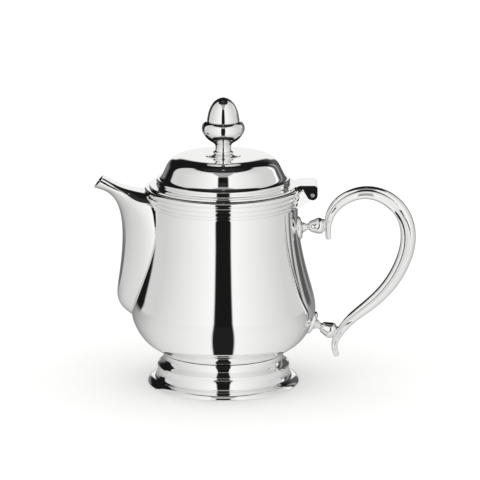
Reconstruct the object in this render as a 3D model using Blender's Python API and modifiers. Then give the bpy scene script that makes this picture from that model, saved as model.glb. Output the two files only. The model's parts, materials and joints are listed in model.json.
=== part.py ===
"""Silver teapot: a bell-shaped pot on a stepped foot, with a beak spout, a scroll handle and a hinged lid.

Metres, +Z up. The pot is turned about an upright axis. The spout points along -X and the handle along +X.
The origin is on the table, below the middle of the whole teapot, so the pot's own axis stands at POT_AXIS_X.
Rest pose: the lid is shut. It turns about HINGE_X, HINGE_Z on an axis along +Y, and a positive angle opens it.
"""

import math

import bmesh
import bpy
from mathutils import Matrix, Vector

# Driving dimensions of the pot, in metres.
GAP = 0.0003                 # left between pieces that touch, in place of the solder
SHEET = 0.0012               # wall of the raised and spun sheet
FOOT_HEIGHT = 0.0193         # table to the bottom of the body
FOOT_RADIUS = 0.0460         # widest edge of the foot
DRUM_RADIUS = 0.0398         # upright part of the foot
WAIST_RADIUS = 0.0361        # top of the foot, under the body
BODY_HEIGHT = 0.0912         # top of the foot to the lower edge of the collar
BELLY_RADIUS = 0.0555        # widest part of the body
NECK_RADIUS = 0.0447         # body just under the collar
COLLAR_HEIGHT = 0.0107       # height of the moulded band round the mouth
COLLAR_WIDTH = 0.0025        # how far its widest ring stands out from the neck

# Lid and finial.
RIM_MARGIN = 0.0027          # rim left bare outside the edge of the lid's flange
LID_SEAT = 0.0003            # the shut lid above the rim
FLANGE_HEIGHT = 0.0052       # underside of the flange to the crease at the foot of the dome
FLANGE_WIDTH = 0.0061        # edge of the flange in to that crease
DOME_HEIGHT = 0.0140         # crease to the highest ring of the dome
DOME_DIMPLE = 0.0012         # how far the dome dips to the finial's seat
BEZEL_DEPTH = 0.0050         # how far the locating ring drops into the mouth
BEZEL_CLEARANCE = 0.0006     # between the locating ring and the mouth
FINIAL_HEIGHT = 0.0358       # seat on the dome to the point of the acorn
FINIAL_RADIUS = 0.0129       # widest part of the acorn's cup
FINIAL_BASE_RADIUS = 0.0105  # disc that the finial stands on
SEAT_MARGIN = 0.0006         # flat of the dome outside that disc
STUD_RADIUS = 0.0020         # threaded stud through the lid
STUD_REACH = 0.0100          # how far the stud enters the finial
NUT_RADIUS = 0.0040
NUT_HEIGHT = 0.0030
WASHER_RADIUS = 0.0062
WASHER_HEIGHT = 0.0010

# Hinge.
HINGE_REACH = 0.0062         # from the edge of the rim out to the pin
HINGE_DROP = 0.0032          # from the top of the rim down to the pin
HINGE_WIDTH = 0.0220
KNUCKLE_RADIUS = 0.00305
KNUCKLE_SHARE = 0.36         # share of the width held by the middle knuckle
KNUCKLE_CLEARANCE = 0.0004
PIN_RADIUS = 0.00115
PIN_CLEARANCE = 0.00012
LEAF_HEIGHT = 0.0059         # top of the lid's leaf above the pin
BRACKET_DROP = 0.0078        # foot of the pot's bracket below the pin

# Spout.
SPOUT_REACH = 0.0775         # pot axis to the lip
SPOUT_BASE_SHARE = 0.235     # foot of the spout, as a share of the body's height
SPOUT_WALL = 0.0010
STRAINER_HOLE_RADIUS = 0.0011
STRAINER_PITCH = 0.0052
STRAINER_ROWS = 7
STRAINER_MIDDLE_SHARE = 0.62 # height of the middle row, as a share of the body's height

# Handle and the two turned arms that carry it.
HANDLE_DEPTH = 0.0425        # lower joint out to the back of the handle, along its centre line
HANDLE_SECTION_DEPTH = 0.0093
HANDLE_SECTION_WIDTH = 0.0082
UPPER_ARM_SHARE = 0.838      # height of the upper arm, as a share of the body's height
LOWER_ARM_SHARE = 0.193
ARM_LENGTH = 0.0152          # face of the body to the end of the arm, against the handle
ARM_CRADLE = 0.0010          # how far that end laps round the handle's inner side
ARM_RADIUS = 0.0049
ROSETTE_RADIUS = 0.0072
ROSETTE_HEIGHT = 0.0024
ROSETTE_ROOT = 0.0030        # how far its blank runs into the body, before it is cut back to the surface

# How finely round shapes are faceted.
LARGE_STEPS = 36
SMALL_STEPS = 16

# Heights and places that follow from the sizes above.
BODY_BASE = FOOT_HEIGHT + GAP
RIM_RADIUS = NECK_RADIUS + COLLAR_WIDTH
LID_RADIUS = RIM_RADIUS - RIM_MARGIN
DOME_RADIUS = LID_RADIUS - FLANGE_WIDTH
COLLAR_BASE = FOOT_HEIGHT + BODY_HEIGHT
RIM_TOP = COLLAR_BASE + COLLAR_HEIGHT
LID_BASE = RIM_TOP + LID_SEAT
DOME_BASE = LID_BASE + FLANGE_HEIGHT
FINIAL_SEAT = DOME_BASE + DOME_HEIGHT - DOME_DIMPLE
MOUTH_WALL_RADIUS = NECK_RADIUS - 0.0006
HINGE_X = RIM_RADIUS + HINGE_REACH
HINGE_Z = RIM_TOP - HINGE_DROP

# Body outline from the collar down to the foot: share of the body's height, then share of the way out
# from the neck's radius to the belly's.
BODY_UPPER = [(1.0, 0.0), (0.82, 0.09), (0.68, 0.25), (0.56, 0.46), (0.44, 0.79), (0.345, 0.98), (0.29, 1.0)]
# The same below the belly, but from the waist's radius to the belly's.
BODY_LOWER = [(0.22, 0.935), (0.145, 0.785), (0.085, 0.58), (0.045, 0.37), (0.018, 0.11), (0.0, 0.0)]

# Spout stations from the foot of the spout to the lip. Each has the share of the way up from the foot of
# the spout to the rim, how far the nose stands out from the neck's radius as a share of the lip's, then
# the same two for the back or top edge, then the half widths of the top and of the side, in metres.
SPOUT_STATIONS = [
    (0.000, 0.240, 0.000, -0.30, 0.0050, 0.0075),
    (0.050, 0.420, 0.030, -0.40, 0.0080, 0.0118),
    (0.130, 0.565, 0.110, -0.45, 0.0120, 0.0150),
    (0.300, 0.558, 0.330, -0.45, 0.0160, 0.0182),
    (0.500, 0.501, 0.620, -0.45, 0.0180, 0.0200),
    (0.670, 0.488, 0.870, -0.40, 0.0180, 0.0202),
    (0.795, 0.520, 0.953, -0.12, 0.0150, 0.0170),
    (0.870, 0.580, 0.966, 0.10, 0.0105, 0.0133),
    (0.926, 0.670, 0.982, 0.30, 0.0085, 0.0098),
    (0.964, 0.795, 1.010, 0.52, 0.0074, 0.0080),
    (0.981, 0.900, 1.044, 0.69, 0.0068, 0.0072),
    (0.993, 1.000, 1.075, 0.83, 0.0064, 0.0067),
]

# Handle centre line from the upper tail to the lower one. Each point has its distance out as a share of
# HANDLE_DEPTH, its height as a share of the way from the lower joint to the upper, and its thickness as a
# share of the full section.
HANDLE_LINE = [
    (-0.012, 0.880, 0.36),
    (0.000, 1.000, 0.46),
    (0.090, 1.136, 0.66),
    (0.303, 1.249, 0.78),
    (0.592, 1.295, 0.85),
    (0.880, 1.238, 0.94),
    (1.084, 1.070, 0.98),
    (1.115, 0.885, 1.00),
    (0.975, 0.628, 0.97),
    (0.762, 0.436, 0.90),
    (0.460, 0.263, 0.80),
    (0.170, 0.122, 0.66),
    (0.000, 0.000, 0.52),
    (-0.078, -0.100, 0.40),
    (-0.062, -0.198, 0.34),
]

SILVER = (0.86, 0.85, 0.83)
STEEL = (0.62, 0.62, 0.62)


# ---------------------------------------------------------------- outlines

def smooth_path(points, per_span):
    """Points along a Catmull-Rom curve through the given ones, with per_span steps between neighbours."""
    path = [Vector(points[0]) * 2 - Vector(points[1])]
    path += [Vector(point) for point in points]
    path.append(Vector(points[-1]) * 2 - Vector(points[-2]))
    result = []
    for index in range(1, len(path) - 2):
        before, start, end, after = path[index - 1:index + 3]
        for step in range(per_span):
            t = step / per_span
            result.append(
                0.5 * (2 * start + (end - before) * t + (2 * before - 5 * start + 4 * end - after) * t ** 2
                       + (3 * start - before - 3 * end + after) * t ** 3)
            )
    result.append(path[-2])
    return result


def arc(centre, radius, start, end, steps):
    """Points on an arc in an (r, z) outline, with the angles in degrees from +r."""
    angles = [math.radians(start + (end - start) * step / steps) for step in range(steps + 1)]
    return [Vector((centre[0] + radius * math.cos(a), centre[1] + radius * math.sin(a))) for a in angles]


def offset_path(path, distance):
    """The path moved sideways by distance, to the left of its direction."""
    moved = []
    for index, point in enumerate(path):
        along = path[min(index + 1, len(path) - 1)] - path[max(index - 1, 0)]
        along.normalize()
        moved.append(point + distance * Vector((-along.y, along.x)))
    return moved


def body_outline():
    """(r, z) points down the outside of the body, from the lower edge of the collar to the foot."""
    upper = [(NECK_RADIUS + (BELLY_RADIUS - NECK_RADIUS) * out, FOOT_HEIGHT + BODY_HEIGHT * up)
             for up, out in BODY_UPPER]
    lower = [(WAIST_RADIUS + (BELLY_RADIUS - WAIST_RADIUS) * out, BODY_BASE + BODY_HEIGHT * up)
             for up, out in BODY_LOWER]
    return [Vector(point) for point in upper + lower]


def body_radius(height):
    path = body_outline()
    for above, below in zip(path, path[1:]):
        if below.y <= height <= above.y:
            share = (height - below.y) / (above.y - below.y)
            return below.x + (above.x - below.x) * share
    return path[0].x


def body_face(share):
    """A point on the handle side of the body at this share of its height, and the body's outward normal there."""
    height = FOOT_HEIGHT + BODY_HEIGHT * share
    reach = 0.004
    slope = (body_radius(height + reach) - body_radius(height - reach)) / (2 * reach)
    return Vector((body_radius(height), 0, height)), Vector((1, 0, -slope)).normalized()


# ---------------------------------------------------------------- scene and objects

def clear_scene():
    for thing in list(bpy.data.objects):
        bpy.data.objects.remove(thing)


def new_collection(name):
    collection = bpy.data.collections.new(name)
    bpy.context.scene.collection.children.link(collection)
    return collection


def finish(name, colour, roughness):
    """A polished metal for one piece."""
    material = bpy.data.materials.new(name)
    material.use_nodes = True
    shader = material.node_tree.nodes["Principled BSDF"]
    shader.inputs["Base Color"].default_value = (*colour, 1)
    shader.inputs["Metallic"].default_value = 1
    shader.inputs["Roughness"].default_value = roughness
    return material


def add_object(name, mesh, parent, colour=SILVER, roughness=0.06, helper=False):
    """Puts a mesh in the scene under its parent. The mesh is in the pot's own frame, with its axis at 0, 0."""
    thing = bpy.data.objects.new(name, mesh)
    (CUTTERS if helper else PARTS).objects.link(thing)
    thing.parent = parent
    thing.location = -LID_PIVOT_PLACE if parent == LID_PIVOT else Vector((0, 0, 0))
    if helper:
        thing.hide_render = True
        thing.display_type = "WIRE"
    else:
        mesh.materials.append(finish(name, colour, roughness))
    return thing


def outline_mesh(name, outline, closed):
    mesh = bpy.data.meshes.new(name)
    points = [(point[0], 0, point[1]) for point in outline]
    edges = [(index, index + 1) for index in range(len(points) - 1)]
    if closed:
        edges.append((len(points) - 1, 0))
    mesh.from_pydata(points, edges, [])
    return mesh


def turned(name, outline, parent, steps=LARGE_STEPS, closed=False, **options):
    """A solid of revolution about the pot's axis. The outline runs down its outer side, top to bottom."""
    thing = add_object(name, outline_mesh(name, outline, closed), parent, **options)
    screw = thing.modifiers.new("turn", "SCREW")
    screw.axis = "Z"
    screw.steps = steps
    screw.render_steps = steps
    screw.use_merge_vertices = True
    screw.merge_threshold = 0.00001
    screw.use_smooth_shade = True
    return thing


def aim(thing, place, direction):
    """Moves a piece turned about its own +Z to a place, with that axis along a direction."""
    thing.location = place
    thing.rotation_euler = direction.to_track_quat("Z", "Y").to_euler()


def cut(thing, cutter, operation="DIFFERENCE"):
    boolean = thing.modifiers.new(cutter.name, "BOOLEAN")
    boolean.operation = operation
    boolean.object = cutter
    boolean.solver = "EXACT"


def cylinder(name, radius, length, place, direction, parent, steps=SMALL_STEPS, **options):
    mesh = bpy.data.meshes.new(name)
    shape = bmesh.new()
    turn = direction.to_track_quat("Z", "Y").to_matrix().to_4x4()
    bmesh.ops.create_cone(
        shape, cap_ends=True, segments=steps, radius1=radius, radius2=radius, depth=length,
        matrix=Matrix.Translation(place) @ turn,
    )
    shape.to_mesh(mesh)
    shape.free()
    return add_object(name, mesh, parent, **options)


def slab(name, outline, low_y, high_y, parent, **options):
    """An upright plate: an (x, z) outline, run from low_y to high_y."""
    mesh = bpy.data.meshes.new(name)
    shape = bmesh.new()
    face = shape.faces.new([shape.verts.new((x, low_y, z)) for x, z in outline])
    swept = bmesh.ops.extrude_face_region(shape, geom=[face])["geom"]
    corners = [item for item in swept if isinstance(item, bmesh.types.BMVert)]
    bmesh.ops.translate(shape, verts=corners, vec=(0, high_y - low_y, 0))
    bmesh.ops.recalc_face_normals(shape, faces=shape.faces)
    shape.to_mesh(mesh)
    shape.free()
    return add_object(name, mesh, parent, **options)


def loft(name, rings, parent, **options):
    """A closed skin over a row of rings that have as many points each."""
    mesh = bpy.data.meshes.new(name)
    shape = bmesh.new()
    rows = [[shape.verts.new(point) for point in ring] for ring in rings]
    for row, after in zip(rows, rows[1:]):
        for index in range(len(row)):
            beside = (index + 1) % len(row)
            shape.faces.new((row[index], row[beside], after[beside], after[index]))
    shape.faces.new(list(reversed(rows[0])))
    shape.faces.new(rows[-1])
    bmesh.ops.recalc_face_normals(shape, faces=shape.faces)
    shape.to_mesh(mesh)
    shape.free()
    return add_object(name, mesh, parent, **options)


# ---------------------------------------------------------------- pot

def make_foot():
    """Stepped foot, spun from sheet and open underneath."""
    drum_top = 0.64 * FOOT_HEIGHT
    cove_foot = 0.21 * FOOT_HEIGHT
    edge = 0.0016
    outside = [Vector((WAIST_RADIUS, FOOT_HEIGHT)), Vector((WAIST_RADIUS, 0.82 * FOOT_HEIGHT))]
    outside += [Vector((DRUM_RADIUS - 0.0008, drum_top + 0.0004)), Vector((DRUM_RADIUS, drum_top - 0.0004))]
    outside += [Vector((DRUM_RADIUS, 0.55 * FOOT_HEIGHT)), Vector((DRUM_RADIUS + 0.0008, 0.34 * FOOT_HEIGHT))]
    outside += [Vector((FOOT_RADIUS - 0.0028, cove_foot)), Vector((FOOT_RADIUS - 0.0006, cove_foot - 0.0009))]
    outside += [Vector((FOOT_RADIUS, edge)), Vector((FOOT_RADIUS - 0.0003, 0))]
    wall = 1.25 * SHEET
    inside = [Vector((FOOT_RADIUS - 0.0020, 0)), Vector((FOOT_RADIUS - 0.0032, edge))]
    inside += [Vector((DRUM_RADIUS - wall, cove_foot)), Vector((DRUM_RADIUS - wall, drum_top - 0.0020))]
    inside += [Vector((WAIST_RADIUS - wall, 0.74 * FOOT_HEIGHT)), Vector((WAIST_RADIUS - wall, FOOT_HEIGHT - SHEET))]
    inside += [Vector((WAIST_RADIUS - 0.0060, FOOT_HEIGHT - SHEET)), Vector((WAIST_RADIUS - 0.0060, FOOT_HEIGHT))]
    turned("foot_ring", outside + inside, POT, closed=True)


def make_body():
    """Bell-shaped vessel: its wall carries on up behind the collar to the rim, and its floor is flat."""
    outside = [Vector((MOUTH_WALL_RADIUS, RIM_TOP)), Vector((MOUTH_WALL_RADIUS, COLLAR_BASE + 0.0006))]
    outside += body_outline()
    inside = offset_path(outside[1:], -SHEET)
    inside = [point for point in inside if point.y > BODY_BASE + SHEET and point.x > 0]
    wall = [Vector((MOUTH_WALL_RADIUS - SHEET, RIM_TOP))] + inside
    floor = [Vector((0, BODY_BASE + SHEET)), Vector((inside[-1].x - 0.0008, BODY_BASE + SHEET))]
    profile = floor + list(reversed(wall)) + outside + [Vector((0, BODY_BASE))]
    body = turned("body_shell", profile, POT)
    cut(body, strainer_cutter())


def strainer_cutter():
    """Staggered holes through the body behind the spout, joined into one cutter."""
    mesh = bpy.data.meshes.new("strainer_holes")
    shape = bmesh.new()
    middle = FOOT_HEIGHT + STRAINER_MIDDLE_SHARE * BODY_HEIGHT
    for row in range(STRAINER_ROWS):
        count = 3 - row % 2
        height = middle + (row - (STRAINER_ROWS - 1) / 2) * STRAINER_PITCH * math.sin(math.radians(60))
        for column in range(count):
            aside = (column - (count - 1) / 2) * STRAINER_PITCH
            place = Matrix.Translation((-body_radius(height), aside, height))
            bmesh.ops.create_cone(
                shape, cap_ends=True, segments=8, radius1=STRAINER_HOLE_RADIUS, radius2=STRAINER_HOLE_RADIUS,
                depth=0.012, matrix=place @ Matrix.Rotation(math.radians(90), 4, "Y"),
            )
    shape.to_mesh(mesh)
    shape.free()
    return add_object("strainer_holes", mesh, POT, helper=True)


def collar_outside():
    """Three stepped rings, the widest at the rim."""
    step = COLLAR_HEIGHT / 10.7
    low = NECK_RADIUS + 0.0007
    middle = NECK_RADIUS + 0.0015
    return [
        Vector((RIM_RADIUS - 0.0009, RIM_TOP)),
        Vector((RIM_RADIUS, RIM_TOP - 0.9 * step)),
        Vector((RIM_RADIUS, RIM_TOP - 2.2 * step)),
        Vector((RIM_RADIUS - 0.0009, RIM_TOP - 3.1 * step)),
        Vector((middle, RIM_TOP - 3.6 * step)),
        Vector((middle + 0.0004, RIM_TOP - 4.6 * step)),
        Vector((middle, RIM_TOP - 6.4 * step)),
        Vector((low, RIM_TOP - 7.0 * step)),
        Vector((low + 0.0003, RIM_TOP - 8.2 * step)),
        Vector((low, COLLAR_BASE + 0.9 * step)),
        Vector((NECK_RADIUS + 0.0001, COLLAR_BASE + 0.3 * step)),
    ]


def make_collar():
    bore = MOUTH_WALL_RADIUS + GAP
    outline = collar_outside()
    outline += [Vector((bore, COLLAR_BASE + 0.0011)), Vector((bore, RIM_TOP))]
    turned("rim_collar", outline, POT, closed=True)


def body_envelope():
    """Body and collar together, grown by the gap: what is fixed to the pot's side is cut back to this."""
    outline = [Vector((0, RIM_TOP + 0.02)), Vector((RIM_RADIUS, RIM_TOP + 0.02))]
    outline += collar_outside()[1:]
    outline += body_outline()[1:] + [Vector((0, BODY_BASE))]
    grown = [outline[0]] + offset_path(outline, GAP)[1:-1] + [outline[-1] - Vector((0, GAP))]
    return turned("body_envelope", grown, POT, helper=True)


# ---------------------------------------------------------------- spout

def spout_ring(station, inset):
    """One section of the spout, or of its hollow, which is smaller all round by the inset."""
    nose_up, nose_out, back_up, back_out, top_width, side_width = station
    base = FOOT_HEIGHT + SPOUT_BASE_SHARE * BODY_HEIGHT
    height = RIM_TOP - base
    spread = SPOUT_REACH - NECK_RADIUS
    nose = Vector((-NECK_RADIUS - spread * nose_out, 0, base + height * nose_up))
    back = Vector((-NECK_RADIUS - spread * back_out, 0, base + height * back_up))
    along = (nose - back).normalized()
    nose -= along * inset
    if back_out > -0.25:
        back += along * inset
    side = Vector((0, 1, 0))
    half = [
        (0.0, top_width * 0.5), (0.07, top_width * 0.92), (0.36, side_width), (0.70, side_width * 0.74),
        (0.93, side_width * 0.34),
    ]
    half = [(share, max(width - inset, 0.0004)) for share, width in half]
    outline = [back] + [back.lerp(nose, share) + side * width for share, width in half] + [nose]
    outline += [back.lerp(nose, share) - side * width for share, width in reversed(half)]
    return closed_loop(outline, 2)


def closed_loop(points, per_span):
    """Points along a closed Catmull-Rom curve."""
    count = len(points)
    result = []
    for index in range(count):
        before, start, end, after = (points[(index + shift) % count] for shift in (-1, 0, 1, 2))
        for step in range(per_span):
            t = step / per_span
            result.append(
                0.5 * (2 * start + (end - before) * t + (2 * before - 5 * start + 4 * end - after) * t ** 2
                       + (3 * start - before - 3 * end + after) * t ** 3)
            )
    return result


def spout_rings(inset):
    return [spout_ring(station, inset) for station in smooth_stations(SPOUT_STATIONS, 2)]


def smooth_stations(stations, per_span):
    """The stations with more put in between, each number following a smooth curve of its own."""
    columns = []
    for column in zip(*stations):
        path = smooth_path([(index, value) for index, value in enumerate(column)], per_span)
        columns.append([point.y for point in path])
    return list(zip(*columns))


def make_spout(envelope):
    """Beak raised from sheet: open to the body behind, and at the lip."""
    spout = loft("spout_shell", spout_rings(0), POT)
    hollow_rings = spout_rings(SPOUT_WALL)[1:]
    last = hollow_rings[-1]
    ahead = sum(last, Vector()) / len(last) - sum(hollow_rings[-2], Vector()) / len(last)
    hollow_rings.append([point + ahead.normalized() * 0.004 for point in last])
    hollow = loft("spout_hollow", hollow_rings, POT, helper=True)
    cut(spout, hollow)
    cut(spout, envelope)


# ---------------------------------------------------------------- handle

def handle_joints():
    """Where the handle's centre line crosses the lines of the two arms, lower then upper."""
    thickness_at = {up: thickness for away, up, thickness in HANDLE_LINE if away == 0}
    joints = []
    for up, share in ((0, LOWER_ARM_SHARE), (1, UPPER_ARM_SHARE)):
        face, normal = body_face(share)
        reach = ARM_LENGTH + GAP + 0.5 * HANDLE_SECTION_DEPTH * thickness_at[up]
        joints.append(face + normal * reach)
    return joints


def handle_section(name, growth=0.0):
    """Two beads side by side, as a closed curve that the handle is swept with."""
    steps = 7
    offset = 0.19 * HANDLE_SECTION_DEPTH
    bead = 0.5 * HANDLE_SECTION_DEPTH - offset + growth
    width = 0.5 * HANDLE_SECTION_WIDTH + growth
    half_angle = math.degrees(math.acos(-offset / bead))
    points = []
    for sign in (1, -1):
        for step in range(steps):
            angle = math.radians(-half_angle + 2 * half_angle * step / steps)
            points.append((-sign * width * math.sin(angle), sign * (offset + bead * math.cos(angle)), 0))
    data = bpy.data.curves.new(name, "CURVE")
    data.dimensions = "2D"
    spline = data.splines.new("POLY")
    spline.points.add(len(points) - 1)
    for target, point in zip(spline.points, reversed(points)):
        target.co = (*point, 1)
    spline.use_cyclic_u = True
    section = bpy.data.objects.new(name, data)
    CUTTERS.objects.link(section)
    section.hide_render = True
    section.display_type = "WIRE"
    return section


def handle_curve(name, section):
    """The handle's centre line, swept with a section."""
    lower, upper = handle_joints()
    out = Vector((HANDLE_DEPTH, 0, 0))
    data = bpy.data.curves.new(name, "CURVE")
    data.dimensions = "3D"
    data.resolution_u = 3
    data.twist_mode = "MINIMUM"
    data.use_fill_caps = True
    data.bevel_mode = "OBJECT"
    data.bevel_object = section
    spline = data.splines.new("BEZIER")
    spline.bezier_points.add(len(HANDLE_LINE) - 1)
    for target, (away, up, thickness) in zip(spline.bezier_points, HANDLE_LINE):
        target.co = lower + out * away + (upper - lower) * up
        target.handle_left_type = "AUTO"
        target.handle_right_type = "AUTO"
        target.radius = thickness
    return bpy.data.objects.new(name, data)


def make_handle():
    handle = handle_curve("handle_scroll", handle_section("handle_section"))
    PARTS.objects.link(handle)
    handle.parent = POT
    handle.data.materials.append(finish("handle_scroll", SILVER, 0.06))


def handle_room():
    """The handle grown by the gap, as a mesh: the ends of the arms are cut back to this."""
    thinnest = min(thickness for away, _, thickness in HANDLE_LINE if away == 0)
    curve = handle_curve("handle_room_line", handle_section("handle_room_section", GAP / thinnest))
    CUTTERS.objects.link(curve)
    graph = bpy.context.evaluated_depsgraph_get()
    mesh = bpy.data.meshes.new_from_object(curve.evaluated_get(graph))
    bpy.data.objects.remove(curve)
    shape = bmesh.new()
    shape.from_mesh(mesh)
    bmesh.ops.remove_doubles(shape, verts=shape.verts, dist=0.000001)
    bmesh.ops.recalc_face_normals(shape, faces=shape.faces)
    shape.to_mesh(mesh)
    shape.free()
    return add_object("handle_room", mesh, POT, helper=True)


def make_arms(envelope):
    """Two equal arms, each a rosette on the body and a turned baluster out to the handle, which it cradles."""
    rosette = [
        (0, ROSETTE_HEIGHT), (0.46 * ROSETTE_RADIUS, ROSETTE_HEIGHT), (0.60 * ROSETTE_RADIUS, 0.62 * ROSETTE_HEIGHT),
        (0.86 * ROSETTE_RADIUS, 0.50 * ROSETTE_HEIGHT), (ROSETTE_RADIUS, 0.22 * ROSETTE_HEIGHT),
        (ROSETTE_RADIUS, -ROSETTE_ROOT), (0, -ROSETTE_ROOT),
    ]
    start = ROSETTE_HEIGHT + GAP
    reach = ARM_LENGTH + ARM_CRADLE
    span = ARM_LENGTH - start
    shape = [(0.66, 0.0), (0.52, 0.06), (0.39, 0.18), (0.44, 0.27), (0.64, 0.36), (0.84, 0.53), (1.0, 0.72),
             (0.95, 0.83), (0.76, 0.92), (0.68, 0.96), (0.66, 1.0)]
    baluster = [(0, reach), (ARM_RADIUS * shape[-1][0], reach)]
    baluster += [(ARM_RADIUS * radius, start + span * along) for radius, along in reversed(shape)]
    baluster.append((0, start))
    room = handle_room()
    for place, share in (("upper", UPPER_ARM_SHARE), ("lower", LOWER_ARM_SHARE)):
        face, normal = body_face(share)
        disc = turned(place + "_rosette", rosette, POT, steps=SMALL_STEPS)
        aim(disc, face, normal)
        cut(disc, envelope)
        arm = turned(place + "_baluster", baluster, POT, steps=SMALL_STEPS)
        aim(arm, face, normal)
        cut(arm, room)


# ---------------------------------------------------------------- hinge

def make_hinge(envelope):
    """Pot's bracket with the middle knuckle, lid's leaf with the outer two, and the pin through all three."""
    along = Vector((0, 1, 0))
    axis = Vector((HINGE_X, 0, HINGE_Z))
    half = 0.5 * HINGE_WIDTH
    middle_half = KNUCKLE_SHARE * half
    knuckle_room = KNUCKLE_RADIUS + KNUCKLE_CLEARANCE
    slant = math.radians(217)
    touch = Vector((HINGE_X + KNUCKLE_RADIUS * math.cos(slant), HINGE_Z + KNUCKLE_RADIUS * math.sin(slant)))

    # The leaf: a block from the flange of the lid, over the rim, and down round the pin.
    leaf_top = HINGE_Z + LEAF_HEIGHT
    rim_corner = Vector((RIM_RADIUS + 0.0007, LID_BASE))
    outline = [(LID_RADIUS - 0.0010, leaf_top - 0.0010), (LID_RADIUS - 0.0010, LID_BASE), tuple(rim_corner)]
    outline += [tuple(point) for point in arc((HINGE_X, HINGE_Z), KNUCKLE_RADIUS, 217, 360, 8)]
    outline += [(HINGE_X + KNUCKLE_RADIUS, leaf_top - 0.0016), (HINGE_X + KNUCKLE_RADIUS - 0.0010, leaf_top - 0.0003)]
    outline += [(HINGE_X + 0.0010, leaf_top), (LID_RADIUS + 0.0012, leaf_top)]
    leaf = slab("hinge_lid_leaf", outline, -half, half, LID_PIVOT)
    gap_half = middle_half + GAP
    room = arc((HINGE_X, HINGE_Z), knuckle_room, -90, 110, 8)
    room = [(point.x, point.y) for point in room] + [(RIM_RADIUS + 0.0004, LID_BASE - 0.0001)]
    room += [(RIM_RADIUS - 0.0030, LID_BASE - 0.0001), (RIM_RADIUS - 0.0030, HINGE_Z - 0.0080)]
    room += [(HINGE_X, HINGE_Z - 0.0080)]
    cut(leaf, slab("leaf_slot", room, -gap_half, gap_half, LID_PIVOT, helper=True))
    cut(leaf, lid_envelope())
    cut(leaf, cylinder("leaf_bore", PIN_RADIUS + PIN_CLEARANCE, HINGE_WIDTH + 0.01, axis, along, LID_PIVOT,
                       steps=12, helper=True))

    # The bracket: an arm up from the collar, hollowed where the lid's knuckles turn.
    base_x = NECK_RADIUS - 0.0010
    bracket_top = HINGE_Z + 0.0021
    slope = touch - rim_corner
    seat = rim_corner - KNUCKLE_CLEARANCE * Vector((-slope.y, slope.x)).normalized()
    seat += slope * (bracket_top - seat.y) / slope.y
    seat_foot = touch - KNUCKLE_CLEARANCE * Vector((-slope.y, slope.x)).normalized()
    outline = [(base_x, bracket_top), tuple(seat), tuple(seat_foot)]
    outline += [(touch.x + 0.0010, touch.y - 0.0014), (touch.x + 0.0004, touch.y - 0.0026)]
    outline += [(RIM_RADIUS + 0.0006, HINGE_Z - 0.0062)]
    outline += [(NECK_RADIUS + 0.0006, HINGE_Z - BRACKET_DROP), (base_x, HINGE_Z - BRACKET_DROP - 0.0004)]
    bracket = slab("hinge_bracket", outline, -half + GAP, half - GAP, POT)
    middle = cylinder("middle_knuckle", KNUCKLE_RADIUS, 2 * middle_half, axis, along, POT, helper=True)
    for side in (-1, 1):
        length = half - middle_half + 0.002
        place = axis + along * side * (middle_half - GAP + length / 2)
        room = cylinder("knuckle_room_%d" % (side + 2), knuckle_room, length, place, along, POT, helper=True)
        cut(bracket, room)
    web = [(seat.x - 0.0010, seat.y - 0.0012), (HINGE_X, HINGE_Z), (HINGE_X, HINGE_Z - 0.0026)]
    web += [(touch.x, touch.y - 0.0020), (touch.x - 0.0020, touch.y - 0.0010)]
    cut(middle, slab("knuckle_web", web, -middle_half + 0.0001, middle_half - 0.0001, POT, helper=True), "UNION")
    cut(bracket, middle, "UNION")
    cut(bracket, cylinder("bracket_bore", PIN_RADIUS + PIN_CLEARANCE, HINGE_WIDTH + 0.01, axis, along, POT,
                          steps=12, helper=True))
    cut(bracket, envelope)

    cylinder("hinge_pin", PIN_RADIUS, HINGE_WIDTH + 0.0006, axis, along, POT, steps=12, colour=STEEL,
             roughness=0.25)


# ---------------------------------------------------------------- lid

def dome_outline():
    """(r, z) points down the outside of the dome, from its middle to the crease round its foot."""
    seat = (FINIAL_SEAT - DOME_BASE) / DOME_HEIGHT
    seat_edge = (FINIAL_BASE_RADIUS + SEAT_MARGIN) / DOME_RADIUS
    dome = [(0.0, seat), (seat_edge, seat), (0.40, 0.965), (0.52, 0.995), (0.64, 1.0), (0.75, 0.950), (0.82, 0.86),
            (0.87, 0.72), (0.915, 0.53), (0.955, 0.29), (1.0, 0.0)]
    return [Vector((DOME_RADIUS * out, DOME_BASE + DOME_HEIGHT * up)) for out, up in dome]


def flange_outline():
    """On from the crease: a bead, a short upright face and a thin ledge out to the edge."""
    ledge = LID_BASE + 0.0012
    return [
        Vector((DOME_RADIUS + 0.0009, DOME_BASE - 0.0004)),
        Vector((DOME_RADIUS + 0.0016, DOME_BASE - 0.0014)),
        Vector((DOME_RADIUS + 0.0017, ledge + 0.0009)),
        Vector((DOME_RADIUS + 0.0024, ledge + 0.0004)),
        Vector((LID_RADIUS - 0.0006, ledge)),
        Vector((LID_RADIUS, ledge - 0.0005)),
    ]


def lid_envelope():
    """The lid grown by the gap: the hinge's leaf is cut back to this."""
    outline = dome_outline() + flange_outline() + [Vector((LID_RADIUS, LID_BASE - 0.0010))]
    grown = [Vector((0, outline[0].y + GAP))] + offset_path(outline, GAP)[1:]
    grown.append(Vector((0, LID_BASE - 0.0010)))
    return turned("lid_envelope", grown, LID_PIVOT, helper=True)


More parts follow.
